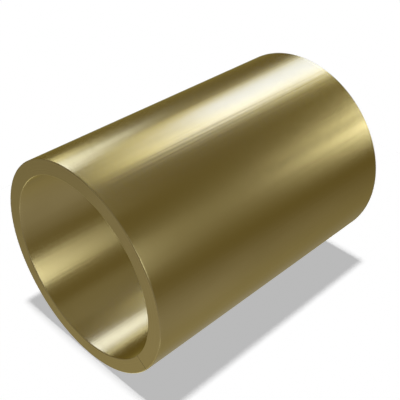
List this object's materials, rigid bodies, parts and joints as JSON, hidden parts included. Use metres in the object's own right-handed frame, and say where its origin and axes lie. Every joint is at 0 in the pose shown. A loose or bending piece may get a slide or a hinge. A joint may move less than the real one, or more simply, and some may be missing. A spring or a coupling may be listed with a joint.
{
  "type": "wrapped plain bushing",
  "caption": "Plain sleeve bushing rolled from bronze strip, with a smooth bore, a press-in outside and a closed straight butt joint.",
  "frame": {"origin": "centre of the lower end face, on the bore's axis", "axes": "+Z along the bore's axis, from the lower end face to the upper one; the butt joint lies 234 degrees round from +X towards +Y"},
  "size_m": [0.014, 0.014, 0.02],
  "materials": {
    "bronze_strip": "burnished rolled bronze, satin"
  },
  "bodies": {
    "root": {"rolled_sleeve": "bronze_strip"}
  },
  "joints": []
}
